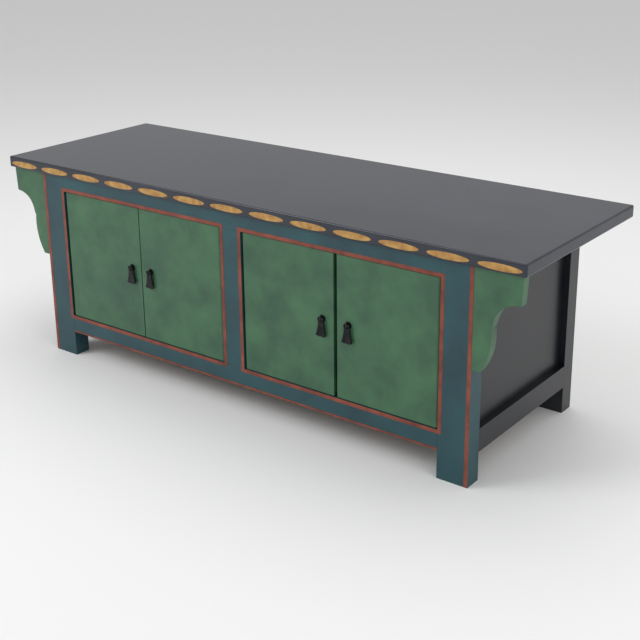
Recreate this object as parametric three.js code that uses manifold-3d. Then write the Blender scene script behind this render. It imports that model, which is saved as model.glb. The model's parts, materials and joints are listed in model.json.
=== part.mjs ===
import * as THREE from 'three';
import { mergeVertices } from 'three/addons/utils/BufferGeometryUtils.js';
import { RoundedBoxGeometry } from 'three/addons/geometries/RoundedBoxGeometry.js';
import Module from 'manifold-3d';

// Low painted cabinet with four pivot-hung doors under a long overhanging top.
// Millimetres, +Z up. The front faces -Y and the origin is on the floor under the middle.

// Overall sizes
const topLength = 1600;
const topDepth = 530;
const topThickness = 30;
const topArris = 4;
const cabinetHeight = 550;
const bodyLength = 1350;
const topOverhang = 10;

// Frame members
const legWidth = 80;
const legDepth = 46;
const underClearance = 70;
const frontBottomRailHeight = 50;
const sideBottomRailHeight = 57;
const topRailHeight = 42;
const railThickness = 28;
const sideRailThickness = 34;
const centreStileWidth = 66;
const crossRailWidth = 44;

// Panels and boards held in grooves
const sidePanelThickness = 12;
const sidePanelRecess = 16;
const backPanelThickness = 10;
const backPanelRecess = 8;
const floorBoardThickness = 14;
const floorBoardDrop = 4;
const grooveDepth = 8;

// Mortise and tenon joints
const tenonLength = 20;
const tenonThickness = 10;
const tenonShoulder = 8;
const legTenonLength = 12;
const legTenonInset = 14;

// Doors and their pivot pins
const doorThickness = 18;
const doorRecess = 2;
const doorSideGap = 1.5;
const doorEndGap = 2;
const leftPairMeetingGap = 3;
const rightPairMeetingGap = 10;
const pivotInset = 8;
const pivotRadius = 3;
const pivotInDoor = 16;
const pivotInRail = 10;

// Strips that the closed doors rest against
const doorStopHeight = 10;
const doorStopDepth = 12;
const doorStopSetback = 30;
const doorStopGap = 0.5;

// Wing brackets under the overhanging ends
const bracketLength = 115;
const bracketHeight = 235;
const bracketThickness = 22;
const bracketOuterDrop = 66;
const bracketWaist = 48;
const bracketWaistDrop = 128;
const bracketTip = 20;

// Pulls: a round plate, a drilled ball on a post, and a hanging bell-shaped pendant
const pullFromFreeEdge = 32;
const pullAboveMiddle = 12;
const plateRadius = 9;
const plateThickness = 1.5;
const plateRim = 0.5;
const ballRadius = 5.4;
const pivotStandOff = 6.2;
const postRadius = 2.6;
const clenchRadius = 6;
const clenchThickness = 2;
const pendantPinRadius = 1.5;
const pendantThickness = 3;
const pendantTopWidth = 15;
const pendantWaistWidth = 17;
const pendantBottomWidth = 30;
const pendantLength = 44;
const pendantEarRadius = 3.6;
const pendantEarThickness = 2;

// Clearances
const seatGap = 0.3;
const pinClearance = 0.35;
const swingClearance = 0.4;

// Places worked out from the sizes above
const undersideZ = cabinetHeight - topThickness;
const frontY = -(topDepth / 2 - topOverhang);
const rearY = -frontY;
const bodyX = bodyLength / 2;
const legInnerX = bodyX - legWidth;
const openingBottomZ = underClearance + frontBottomRailHeight;
const openingTopZ = undersideZ - topRailHeight;
const openingMiddleZ = (openingBottomZ + openingTopZ) / 2;
const stileX = centreStileWidth / 2;
const floorTopZ = openingBottomZ - floorBoardDrop;
const floorBottomZ = floorTopZ - floorBoardThickness;
const panelOuterX = bodyX - sidePanelRecess;
const panelInnerX = panelOuterX - sidePanelThickness;
const sideRailInnerX = bodyX - sideRailThickness;
const backPanelRearY = rearY - backPanelRecess;
const backPanelFrontY = backPanelRearY - backPanelThickness;
const frontRailBackY = frontY + railThickness;
const rearRailFrontY = rearY - railThickness;
const frontLegBackY = frontY + legDepth;
const rearLegFrontY = rearY - legDepth;
const doorFrontY = frontY + doorRecess;
const pivotY = doorFrontY + pivotInset;
const pullPivotY = doorFrontY - pivotStandOff;
const pullPivotZ = openingMiddleZ + pullAboveMiddle;

// Materials
const finish = (color, roughness, metalness = 0) => new THREE.MeshStandardMaterial({ color, roughness, metalness });
const navyLacquer = finish(0x1a202c, 0.28);
const blackLacquer = finish(0x11151a, 0.35);
const tealLacquer = finish(0x123a44, 0.38);
const greenLacquer = finish(0x2c5b3a, 0.42);
const blackIron = finish(0x101013, 0.3, 0.8);
const bareWood = finish(0x6b5138, 0.75);
const steel = finish(0x8a8a88, 0.4, 0.9);

// Solids, cuts and joins
const wasm = await Module();
wasm.setup();

function solidFrom(geometry) {
  const bare = geometry.clone();
  for (const name of Object.keys(bare.attributes)) {
    if (name !== 'position') bare.deleteAttribute(name);
  }
  const merged = mergeVertices(bare, 1e-3);
  return new wasm.Manifold(new wasm.Mesh({
    numProp: 3,
    vertProperties: new Float32Array(merged.attributes.position.array),
    triVerts: new Uint32Array(merged.index.array),
  }));
}

function geometryFrom(solid) {
  const mesh = solid.getMesh();
  const geometry = new THREE.BufferGeometry();
  geometry.setAttribute('position', new THREE.BufferAttribute(new Float32Array(mesh.vertProperties), 3));
  geometry.setIndex(new THREE.BufferAttribute(new Uint32Array(mesh.triVerts), 1));
  geometry.computeVertexNormals();
  return geometry;
}

// A block between two corners, each [x, y, z].
function block(low, high) {
  const size = high.map((value, axis) => value - low[axis]);
  const geometry = new THREE.BoxGeometry(...size);
  geometry.translate(...low.map((value, axis) => value + size[axis] / 2));
  return solidFrom(geometry);
}

// A round bar from one point to another along X, Y or Z.
function bar(start, end, radius, sides = 24) {
  const from = new THREE.Vector3(...start);
  const to = new THREE.Vector3(...end);
  const geometry = new THREE.CylinderGeometry(radius, radius, from.distanceTo(to), sides);
  const turn = new THREE.Quaternion().setFromUnitVectors(new THREE.Vector3(0, 1, 0), to.clone().sub(from).normalize());
  geometry.applyQuaternion(turn);
  geometry.translate(...from.add(to).multiplyScalar(0.5).toArray());
  return solidFrom(geometry);
}

const grow = (corners, gap) => [corners[0].map((v) => v - gap), corners[1].map((v) => v + gap)];
const socket = (corners, gap = seatGap) => block(...grow(corners, gap));
const mirrorCorners = ([low, high]) => [[-high[0], low[1], low[2]], [-low[0], high[1], high[2]]];

const cabinet = new THREE.Group();

function addPiece(name, geometry, material) {
  const mesh = new THREE.Mesh(geometry, material);
  mesh.name = name;
  cabinet.add(mesh);
  return mesh;
}

const addSolid = (name, solid, material) => addPiece(name, geometryFrom(solid), material);

// Rails that run along X between the legs, with a tenon into each leg.
function railAlongX(y0, y1, z0, z1) {
  const middleY = (y0 + y1) / 2;
  const body = [[-legInnerX + seatGap, y0, z0], [legInnerX - seatGap, y1, z1]];
  const tenon = [
    [-legInnerX - tenonLength, middleY - tenonThickness / 2, z0 + tenonShoulder],
    [legInnerX + tenonLength, middleY + tenonThickness / 2, z1 - tenonShoulder],
  ];
  return { body, tenon, solid: block(...body).add(block(...tenon)) };
}

// Rails that run along Y between the front and rear members, on the right side.
function railAlongY(x0, x1, y0, y1, z0, z1, reach) {
  const middleX = (x0 + x1) / 2;
  const body = [[x0, y0 + seatGap, z0], [x1, y1 - seatGap, z1]];
  const tenon = [
    [middleX - tenonThickness / 2, y0 - reach, z0 + tenonShoulder],
    [middleX + tenonThickness / 2, y1 + reach, z1 - tenonShoulder],
  ];
  return { body, tenon, solid: block(...body).add(block(...tenon)) };
}

// Stiles that stand between a bottom rail and a top rail, with a tenon into each.
function stile(y0, y1, z0, z1) {
  const middleY = (y0 + y1) / 2;
  const body = [[-stileX, y0, z0 + seatGap], [stileX, y1, z1 - seatGap]];
  const tenon = [
    [-stileX + tenonShoulder, middleY - tenonThickness / 2, z0 - tenonLength],
    [stileX - tenonShoulder, middleY + tenonThickness / 2, z1 + tenonLength],
  ];
  return { body, tenon, solid: block(...body).add(block(...tenon)) };
}

const railTopZ = undersideZ - seatGap;
const frontTopRail = railAlongX(frontY, frontRailBackY, openingTopZ, railTopZ);
const frontBottomRail = railAlongX(frontY, frontRailBackY, underClearance, openingBottomZ);
const rearTopRail = railAlongX(rearRailFrontY, rearY, openingTopZ, railTopZ);
const rearBottomRail = railAlongX(rearRailFrontY, rearY, underClearance, openingBottomZ);
const sideBottomRailTopZ = underClearance + sideBottomRailHeight;
const sideTopRail = railAlongY(
  sideRailInnerX, bodyX, frontLegBackY, rearLegFrontY, openingTopZ, railTopZ, tenonLength,
);
const sideBottomRail = railAlongY(
  sideRailInnerX, bodyX, frontLegBackY, rearLegFrontY, underClearance, sideBottomRailTopZ, tenonLength,
);
const crossX = crossRailWidth / 2;
const crossTenonLength = (railThickness - tenonThickness) / 2 - 3 * seatGap;
const topCrossRail = railAlongY(
  -crossX, crossX, frontRailBackY, rearRailFrontY, openingTopZ, railTopZ, crossTenonLength,
);
const bottomCrossRail = railAlongY(
  -crossX, crossX, frontRailBackY, rearRailFrontY, underClearance, floorBottomZ - seatGap, crossTenonLength,
);
const frontStile = stile(frontY, frontRailBackY, openingBottomZ, openingTopZ);
const rearStile = stile(rearRailFrontY, rearY, openingBottomZ, openingTopZ);

// Panels in their grooves. Each reaches one groove depth into what holds it.
const sidePanel = [
  [panelInnerX, frontLegBackY - grooveDepth, sideBottomRailTopZ - grooveDepth],
  [panelOuterX, rearLegFrontY + grooveDepth, openingTopZ + grooveDepth],
];
const backPanel = [
  [stileX - grooveDepth, backPanelFrontY, openingBottomZ - grooveDepth],
  [legInnerX + grooveDepth, backPanelRearY, openingTopZ + grooveDepth],
];

// Legs, described on the right side and mirrored for the left.
const frontLeg = [[legInnerX, frontY, 0], [bodyX, frontLegBackY, undersideZ - seatGap]];
const rearLeg = [[legInnerX, rearLegFrontY, 0], [bodyX, rearY, undersideZ - seatGap]];
const topTenon = ([low, high]) => [
  [low[0] + legTenonInset, low[1] + legTenonInset, high[2] - 1],
  [high[0] - legTenonInset, high[1] - legTenonInset, undersideZ + legTenonLength],
];
const legTenons = [topTenon(frontLeg), topTenon(rearLeg)];

// Floor boards lie in grooves in the four bottom rails and are notched round the legs.
const floorBoard = [
  [seatGap, frontRailBackY - grooveDepth, floorBottomZ],
  [sideRailInnerX + grooveDepth, rearRailFrontY + grooveDepth, floorTopZ],
];

const mirrorX = (solid) => solid.mirror([1, 0, 0]);

for (const [name, corners, rails] of [
  ['front', frontLeg, [frontTopRail, frontBottomRail]],
  ['rear', rearLeg, [rearTopRail, rearBottomRail]],
]) {
  let leg = block(...corners).add(block(...topTenon(corners)));
  for (const rail of [...rails, sideTopRail, sideBottomRail]) leg = leg.subtract(socket(rail.tenon));
  leg = leg.subtract(socket(sidePanel)).subtract(socket(backPanel));
  addSolid(`${name}_right_leg`, leg, name === 'front' ? tealLacquer : blackLacquer);
  addSolid(`${name}_left_leg`, mirrorX(leg), name === 'front' ? tealLacquer : blackLacquer);
}

// Where each door hangs: its hinge side and the gap at its free edge.
const doors = [
  { number: 1, hingeX: -legInnerX, side: 1, freeX: -(legInnerX + stileX) / 2 - leftPairMeetingGap / 2 },
  { number: 2, hingeX: -stileX, side: -1, freeX: -(legInnerX + stileX) / 2 + leftPairMeetingGap / 2 },
  { number: 3, hingeX: stileX, side: 1, freeX: (legInnerX + stileX) / 2 - rightPairMeetingGap / 2 },
  { number: 4, hingeX: legInnerX, side: -1, freeX: (legInnerX + stileX) / 2 + rightPairMeetingGap / 2 },
];
for (const door of doors) {
  door.pivotX = door.hingeX + door.side * (doorSideGap + pivotInset);
  door.pullX = door.freeX - door.side * pullFromFreeEdge;
}
const doorBottomZ = openingBottomZ + doorEndGap;
const doorTopZ = openingTopZ - doorEndGap;
const pinSpans = {
  top: [doorTopZ - pivotInDoor, openingTopZ + pivotInRail],
  bottom: [openingBottomZ - pivotInRail, doorBottomZ + pivotInDoor],
};
const pivotPin = (door, end, gap = 0) => bar(
  [door.pivotX, pivotY, pinSpans[end][0] - gap],
  [door.pivotX, pivotY, pinSpans[end][1] + gap],
  pivotRadius + gap,
);

// Front rails, with the mortises for the stile and cross rails and the door pivot sockets.
let frontTop = frontTopRail.solid.subtract(socket(frontStile.tenon)).subtract(socket(topCrossRail.tenon));
let frontBottom = frontBottomRail.solid.subtract(socket(frontStile.tenon));
frontBottom = frontBottom.subtract(socket(bottomCrossRail.tenon));
for (const door of doors) {
  frontTop = frontTop.subtract(pivotPin(door, 'top', pinClearance));
  frontBottom = frontBottom.subtract(pivotPin(door, 'bottom', pinClearance));
}
const floorGroove = socket([
  [-sideRailInnerX - grooveDepth, floorBoard[0][1], floorBottomZ],
  [sideRailInnerX + grooveDepth, floorBoard[1][1], floorTopZ],
]);
addSolid('front_top_rail', frontTop, tealLacquer);
addSolid('front_bottom_rail', frontBottom.subtract(floorGroove), tealLacquer);
addSolid('centre_stile', frontStile.solid, tealLacquer);

// Rear frame
const backGrooves = (solid) => solid.subtract(socket(backPanel)).subtract(socket(mirrorCorners(backPanel)));
let rearTop = rearTopRail.solid.subtract(socket(rearStile.tenon)).subtract(socket(topCrossRail.tenon));
let rearBottom = rearBottomRail.solid.subtract(socket(rearStile.tenon));
rearBottom = rearBottom.subtract(socket(bottomCrossRail.tenon)).subtract(floorGroove);
rearTop = backGrooves(rearTop);
rearBottom = backGrooves(rearBottom);
addSolid('rear_top_rail', rearTop, blackLacquer);
addSolid('rear_bottom_rail', rearBottom, blackLacquer);
addSolid('rear_centre_stile', backGrooves(rearStile.solid), blackLacquer);
addSolid('back_panel_right', block(...backPanel), bareWood);
addSolid('back_panel_left', block(...mirrorCorners(backPanel)), bareWood);

// Side frames
const sideTop = sideTopRail.solid.subtract(socket(sidePanel));
const sideBottom = sideBottomRail.solid.subtract(socket(sidePanel)).subtract(floorGroove);
for (const [hand, flip] of [['right', (s) => s], ['left', mirrorX]]) {
  addSolid(`${hand}_top_rail`, flip(sideTop), blackLacquer);
  addSolid(`${hand}_bottom_rail`, flip(sideBottom), blackLacquer);
  addSolid(`${hand}_side_panel`, flip(block(...sidePanel)), blackLacquer);
}
addSolid('top_cross_rail', topCrossRail.solid, bareWood);
addSolid('bottom_cross_rail', bottomCrossRail.solid, bareWood);

// Floor boards
const floorPiece = block(...floorBoard).subtract(socket(frontLeg)).subtract(socket(rearLeg));
addSolid('floor_board_right', floorPiece, bareWood);
addSolid('floor_board_left', mirrorX(floorPiece), bareWood);

// Top board with rounded arrises and blind mortises for the four leg tenons
const slab = new RoundedBoxGeometry(topLength, topDepth, topThickness, 2, topArris);
slab.translate(0, 0, undersideZ + topThickness / 2);
let topBoard = solidFrom(slab);
for (const tenon of legTenons) {
  topBoard = topBoard.subtract(socket(tenon)).subtract(socket(mirrorCorners(tenon)));
}
addSolid('top_board', topBoard, navyLacquer);

// Wing brackets: a straight outer end, a cusped cyma and a long lobe down the leg
function bracketOutline() {
  const outline = new THREE.Shape();
  const cusp = 4;
  outline.moveTo(0, 0);
  outline.lineTo(bracketLength, 0);
  outline.lineTo(bracketLength - cusp, -bracketOuterDrop);
  outline.quadraticCurveTo(
    bracketWaist + 2 * cusp, -bracketOuterDrop - cusp, bracketWaist, -bracketWaistDrop + 2 * cusp,
  );
  outline.lineTo(bracketWaist - cusp, -bracketWaistDrop);
  outline.quadraticCurveTo(
    bracketWaist + cusp, -(bracketWaistDrop + bracketHeight) / 2 - cusp, bracketTip, -bracketHeight,
  );
  outline.lineTo(0, -bracketHeight);
  outline.closePath();
  return outline;
}
const bracketGeometry = new THREE.ExtrudeGeometry(bracketOutline(), {
  depth: bracketThickness, bevelEnabled: false, curveSegments: 12,
});
bracketGeometry.rotateX(Math.PI / 2);
bracketGeometry.translate(bodyX + seatGap, frontY + bracketThickness, undersideZ - seatGap);
const bracket = solidFrom(bracketGeometry);
addSolid('right_bracket', bracket, greenLacquer);
addSolid('left_bracket', mirrorX(bracket), greenLacquer);

// Door stops, one strip behind the top edge of each pair, clear of the turning hinge edges
const stopStrip = [
  [stileX + doorStopSetback, doorFrontY + doorThickness + doorStopGap, openingTopZ - seatGap - doorStopHeight],
  [legInnerX - doorStopSetback, doorFrontY + doorThickness + doorStopGap + doorStopDepth, openingTopZ - seatGap],
];
addSolid('door_stop_right', block(...stopStrip), bareWood);
addSolid('door_stop_left', block(...mirrorCorners(stopStrip)), bareWood);

// Door board: square at its free edge, and quarter-round about the pivot at its front hinge corner
function doorBoard(door) {
  const plan = new THREE.Shape();
  const reach = Math.abs(door.freeX - door.pivotX);
  const back = doorThickness - pivotInset;
  plan.moveTo(-pivotInset, back);
  plan.lineTo(-pivotInset, 0);
  plan.absarc(0, 0, pivotInset, Math.PI, 1.5 * Math.PI, false);
  plan.lineTo(reach, -pivotInset);
  plan.lineTo(reach, back);
  plan.closePath();
  const geometry = new THREE.ExtrudeGeometry(plan, {
    depth: doorTopZ - doorBottomZ, bevelEnabled: false, curveSegments: 8,
  });
  let board = solidFrom(geometry);
  if (door.side < 0) board = mirrorX(board);
  board = board.translate([door.pivotX, pivotY, doorBottomZ]);
  for (const end of ['top', 'bottom']) board = board.subtract(pivotPin(door, end, seatGap));
  const throughPost = bar(
    [door.pullX, doorFrontY - 1, pullPivotZ],
    [door.pullX, doorFrontY + doorThickness + 1, pullPivotZ],
    postRadius + seatGap,
  );
  return board.subtract(throughPost);
}

// Pull plate: a shallow turned dish with a hole for the post
function pullPlate() {
  const hole = postRadius + seatGap;
  const profile = [
    new THREE.Vector2(hole, 0),
    new THREE.Vector2(plateRadius, 0),
    new THREE.Vector2(plateRadius, plateRim),
    new THREE.Vector2((plateRadius + hole) / 2, plateThickness - plateRim / 2),
    new THREE.Vector2(hole, plateThickness - plateRim / 2),
    new THREE.Vector2(hole, 0),
  ];
  const geometry = new THREE.LatheGeometry(profile, 28);
  geometry.rotateX(Math.PI);
  return solidFrom(geometry);
}

// Pull eye: a drilled ball on a post that passes through the door to a clenched end behind it
function pullEye() {
  const ball = solidFrom(new THREE.SphereGeometry(ballRadius, 20, 12));
  const backFace = pivotStandOff + doorThickness + seatGap;
  const post = bar([0, 0, 0], [0, backFace + clenchThickness, 0], postRadius);
  const clench = bar([0, backFace, 0], [0, backFace + clenchThickness, 0], clenchRadius);
  const hole = bar(
    [-ballRadius - 1, 0, 0], [ballRadius + 1, 0, 0], pendantPinRadius + pinClearance,
  );
  return ball.add(post).add(clench).subtract(hole);
}

// Pendant: a bell-shaped plate under two ears, joined by the pin that passes through the eye
function pullPendant() {
  const outline = new THREE.Shape();
  const topZ = -(ballRadius + swingClearance + 1);
  const halfTop = pendantTopWidth / 2;
  const halfBottom = pendantBottomWidth / 2;
  const lip = 3;
  outline.moveTo(-halfTop, topZ);
  outline.quadraticCurveTo(-pendantWaistWidth / 2, -pendantLength * 0.62, -halfBottom, -pendantLength + lip);
  outline.quadraticCurveTo(-halfBottom / 2, -pendantLength - lip / 2, 0, -pendantLength + lip / 2);
  outline.quadraticCurveTo(halfBottom / 2, -pendantLength - lip / 2, halfBottom, -pendantLength + lip);
  outline.quadraticCurveTo(pendantWaistWidth / 2, -pendantLength * 0.62, halfTop, topZ);
  outline.closePath();
  const plate = new THREE.ExtrudeGeometry(outline, {
    depth: pendantThickness, bevelEnabled: false, curveSegments: 8,
  });
  plate.rotateX(Math.PI / 2);
  plate.translate(0, pendantThickness / 2, 0);
  let pendant = solidFrom(plate);
  const earStart = ballRadius + swingClearance;
  const earEnd = earStart + pendantEarThickness;
  for (const hand of [-1, 1]) {
    pendant = pendant.add(bar([hand * earStart, 0, 0], [hand * earEnd, 0, 0], pendantEarRadius));
    const xs = [hand * earStart, hand * earEnd].sort((a, b) => a - b);
    pendant = pendant.add(block(
      [xs[0], -pendantThickness / 2, topZ - 1],
      [xs[1], pendantThickness / 2, 0],
    ));
  }
  return pendant.add(bar([-earEnd, 0, 0], [earEnd, 0, 0], pendantPinRadius, 16));
}

const plateSolid = pullPlate();
const eyeSolid = pullEye();
const pendantSolid = pullPendant();
for (const door of doors) {
  const name = `door_${door.number}`;
  addSolid(`${name}_board`, doorBoard(door), greenLacquer);
  for (const end of ['top', 'bottom']) addSolid(`${name}_pivot_${end}`, pivotPin(door, end), steel);
  addSolid(`pull_${door.number}_plate`, plateSolid, blackIron)
    .position.set(door.pullX, doorFrontY - seatGap, pullPivotZ);
  addSolid(`pull_${door.number}_eye`, eyeSolid, blackIron)
    .position.set(door.pullX, pullPivotY, pullPivotZ);
  addSolid(`pull_${door.number}_pendant`, pendantSolid, blackIron)
    .position.set(door.pullX, pullPivotY, pullPivotZ);
}

export default cabinet;
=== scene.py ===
import json
import math
import bpy
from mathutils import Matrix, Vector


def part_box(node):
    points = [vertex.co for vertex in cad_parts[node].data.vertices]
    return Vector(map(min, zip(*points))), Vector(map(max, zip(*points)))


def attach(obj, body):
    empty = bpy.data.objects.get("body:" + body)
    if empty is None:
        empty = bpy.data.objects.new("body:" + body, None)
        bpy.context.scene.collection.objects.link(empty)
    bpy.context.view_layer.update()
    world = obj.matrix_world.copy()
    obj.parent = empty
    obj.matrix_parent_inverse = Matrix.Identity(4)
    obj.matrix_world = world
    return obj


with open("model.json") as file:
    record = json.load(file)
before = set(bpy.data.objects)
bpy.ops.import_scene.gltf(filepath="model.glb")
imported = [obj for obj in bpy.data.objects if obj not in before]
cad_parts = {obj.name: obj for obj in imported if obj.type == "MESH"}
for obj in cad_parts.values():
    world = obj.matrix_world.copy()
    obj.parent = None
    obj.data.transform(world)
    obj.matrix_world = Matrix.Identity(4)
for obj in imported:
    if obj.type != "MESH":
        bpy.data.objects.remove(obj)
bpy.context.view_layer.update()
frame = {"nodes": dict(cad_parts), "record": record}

# Camera: the fitted viewing angle of the photograph, in metres and degrees
cameraPlace = (1.815, -2.276, 1.313)
cameraTurn = (71.51, 0.54, 37.16)
focalPixels = 1176
framePixels = 640
sensorWidth = 36
shiftUp = -0.1


def makeCamera():
    data = bpy.data.cameras.new("camera")
    data.sensor_width = sensorWidth
    data.lens = focalPixels * sensorWidth / framePixels
    data.shift_y = shiftUp
    camera = bpy.data.objects.new("camera", data)
    camera.location = cameraPlace
    camera.rotation_euler = [math.radians(angle) for angle in cameraTurn]
    bpy.context.scene.collection.objects.link(camera)
    bpy.context.scene.camera = camera


# Each finish: dark colour, light colour, roughness range, mottling scale, metalness
finishes = {
    "top_lacquer": ((0.010, 0.013, 0.022), (0.026, 0.033, 0.048), (0.20, 0.34), 5, 0),
    "frame_lacquer": ((0.006, 0.040, 0.055), (0.012, 0.075, 0.088), (0.30, 0.46), 9, 0),
    "black_lacquer": ((0.005, 0.007, 0.011), (0.016, 0.017, 0.020), (0.26, 0.42), 7, 0),
    "green_lacquer": ((0.024, 0.085, 0.045), (0.052, 0.150, 0.070), (0.34, 0.50), 14, 0),
    "bare_wood": ((0.110, 0.065, 0.034), (0.230, 0.150, 0.085), (0.65, 0.85), 18, 0),
    "black_iron": ((0.006, 0.006, 0.008), (0.022, 0.021, 0.024), (0.16, 0.34), 60, 0.7),
    "brick_red": ((0.130, 0.022, 0.010), (0.270, 0.058, 0.028), (0.36, 0.52), 30, 0),
    "old_gold": ((0.300, 0.130, 0.028), (0.560, 0.330, 0.090), (0.34, 0.50), 45, 0),
    "pivot_steel": ((0.250, 0.245, 0.235), (0.480, 0.470, 0.450), (0.30, 0.48), 80, 1),
}


# A mottled finish: broad patches of colour, uneven gloss and a fine brushed surface
def makeFinish(name, dark, light, gloss, scale, metal):
    material = bpy.data.materials.new(name)
    material.use_nodes = True
    nodes = material.node_tree.nodes
    links = material.node_tree.links
    shader = nodes["Principled BSDF"]
    shader.inputs["Metallic"].default_value = metal
    coords = nodes.new("ShaderNodeTexCoord")
    patches = nodes.new("ShaderNodeTexNoise")
    patches.inputs["Scale"].default_value = scale
    patches.inputs["Detail"].default_value = 8
    ramp = nodes.new("ShaderNodeValToRGB")
    ramp.color_ramp.elements[0].position = 0.3
    ramp.color_ramp.elements[0].color = (*dark, 1)
    ramp.color_ramp.elements[1].position = 0.7
    ramp.color_ramp.elements[1].color = (*light, 1)
    rough = nodes.new("ShaderNodeMapRange")
    rough.inputs["To Min"].default_value = gloss[0]
    rough.inputs["To Max"].default_value = gloss[1]
    grain = nodes.new("ShaderNodeTexNoise")
    grain.inputs["Scale"].default_value = scale * 12
    bump = nodes.new("ShaderNodeBump")
    bump.inputs["Strength"].default_value = 0.06
    bump.inputs["Distance"].default_value = 0.0005
    links.new(coords.outputs["Object"], patches.inputs["Vector"])
    links.new(coords.outputs["Object"], grain.inputs["Vector"])
    links.new(patches.outputs["Fac"], ramp.inputs["Fac"])
    links.new(ramp.outputs["Color"], shader.inputs["Base Color"])
    links.new(patches.outputs["Fac"], rough.inputs["Value"])
    links.new(rough.outputs["Result"], shader.inputs["Roughness"])
    links.new(grain.outputs["Fac"], bump.inputs["Height"])
    links.new(bump.outputs["Normal"], shader.inputs["Normal"])
    return material


def dressNodes(made):
    for part in frame["record"]["subparts"]:
        piece = frame["nodes"][part["node"]]
        piece.data.materials.clear()
        piece.data.materials.append(made[part["material_slot"]])


# One painted strip between two corners, standing a brush stroke proud of the front
def makeStrip(name, low, high, finish):
    bpy.ops.mesh.primitive_cube_add(size=1, location=[(a + b) / 2 for a, b in zip(low, high)])
    strip = bpy.context.object
    strip.name = name
    strip.scale = [b - a for a, b in zip(low, high)]
    bpy.ops.object.transform_apply(location=True, rotation=True, scale=True)
    strip.data.materials.append(finish)
    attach(strip, "carcass")
    return strip


# Red bands round the two door openings, down the legs and under the bottom rail
def makeBands(red):
    bandWidth = 0.0095
    proud = 0.0004
    legLow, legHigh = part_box("front_right_leg")
    stileLow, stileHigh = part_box("centre_stile")
    railLow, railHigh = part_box("front_bottom_rail")
    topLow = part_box("front_top_rail")[0][2]
    front = legLow[1]
    for hand in (-1, 1):
        inner, outer = hand * stileHigh[0], hand * legLow[0]
        left, right = min(inner, outer), max(inner, outer)
        bottom, top = railHigh[2], topLow
        spans = {
            "left": (left - bandWidth, left, bottom, top), "right": (right, right + bandWidth, bottom, top),
            "bottom": (left - bandWidth, right + bandWidth, bottom - bandWidth, bottom),
            "top": (left - bandWidth, right + bandWidth, top, top + bandWidth),
        }
        edge = hand * legHigh[0]
        spans["leg"] = (min(edge, edge - hand * bandWidth), max(edge, edge - hand * bandWidth), 0.001, legHigh[2])
        for side, (x0, x1, z0, z1) in spans.items():
            name = f"band_{side}_{'right' if hand > 0 else 'left'}"
            makeStrip(name, (x0, front - proud, z0), (x1, front, z1), red)
    makeStrip("band_rail", (-legLow[0], front - proud, railLow[2]), (legLow[0], front, railLow[2] + 0.005), red)


# A row of gold cartouches along the front edge of the top
def makeCartouches(gold, count=13):
    low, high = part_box("top_board")
    pitch = (high[0] - low[0]) / count
    for index in range(count):
        place = (low[0] + (index + 0.5) * pitch, low[1], (low[2] + high[2]) / 2 - 0.003)
        bpy.ops.mesh.primitive_uv_sphere_add(segments=32, ring_count=16, radius=1, location=place)
        piece = bpy.context.object
        piece.name = f"cartouche_{index + 1}"
        piece.scale = (pitch * 0.42, 0.0008, 0.008)
        bpy.ops.object.transform_apply(location=True, rotation=True, scale=True)
        piece.data.materials.append(gold)
        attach(piece, "carcass")


def makeFloor():
    bpy.ops.mesh.primitive_plane_add(size=30)
    floor = bpy.context.object
    floor.name = "floor"
    material = bpy.data.materials.new("pale_floor")
    material.use_nodes = True
    shader = material.node_tree.nodes["Principled BSDF"]
    shader.inputs["Base Color"].default_value = (0.9, 0.9, 0.9, 1)
    shader.inputs["Roughness"].default_value = 0.9
    floor.data.materials.append(material)


# Each lamp: place, size in metres, power in watts
lamps = {
    "key": ((-2.2, -2.8, 2.8), 2.0, 62),
    "fill": ((3.2, -1.2, 2.0), 2.4, 24),
    "above": ((0.2, 1.2, 3.2), 2.6, 30),
}


def makeLamps():
    for name, (place, size, power) in lamps.items():
        data = bpy.data.lights.new(name, "AREA")
        data.size = size
        data.energy = power
        lamp = bpy.data.objects.new(name, data)
        lamp.location = place
        aim = bpy.data.objects.new(name + "_aim", None)
        aim.location = (0, 0, 0.3)
        bpy.context.scene.collection.objects.link(lamp)
        bpy.context.scene.collection.objects.link(aim)
        track = lamp.constraints.new("TRACK_TO")
        track.target = aim
    world = bpy.data.worlds.new("backdrop")
    world.use_nodes = True
    world.node_tree.nodes["Background"].inputs["Color"].default_value = (1, 1, 1, 1)
    world.node_tree.nodes["Background"].inputs["Strength"].default_value = 0.6
    bpy.context.scene.world = world
    bpy.context.scene.view_settings.view_transform = "Standard"


makeCamera()
print("camera placed")
made = {name: makeFinish(name, *values) for name, values in finishes.items()}
dressNodes(made)
print("finishes made")
makeBands(made["brick_red"])
makeCartouches(made["old_gold"])
print("painted bands and cartouches made")
makeFloor()
makeLamps()
print("floor and lamps made")
